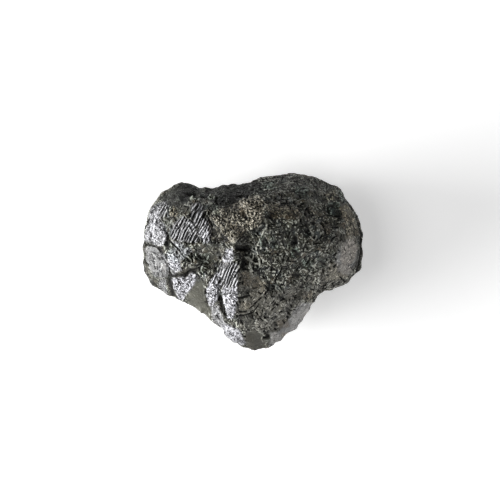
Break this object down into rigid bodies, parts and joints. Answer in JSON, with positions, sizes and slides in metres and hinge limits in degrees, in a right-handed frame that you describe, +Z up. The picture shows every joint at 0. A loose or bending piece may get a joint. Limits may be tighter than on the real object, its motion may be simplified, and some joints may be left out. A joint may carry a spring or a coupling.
{
  "type": "rough diamond",
  "caption": "Rough black diamond, an uncut lumpy natural stone with striated, pitted crystal faces, resting on a flat cleavage face.",
  "frame": {"origin": "the middle of the stone's bounding box in X and Y, at the height of the flat cleavage face it lies on", "axes": "+X along the stone's longest side, +Y towards its long, nearly straight upper edge, +Z up from the resting face to the crown"},
  "size_m": [0.0086, 0.007, 0.0051],
  "materials": {
    "black_diamond": "rough crystal faces, adamantine to greasy lustre, black to grey-brown"
  },
  "bodies": {
    "root": {"rough_diamond": "black_diamond"}
  },
  "joints": []
}
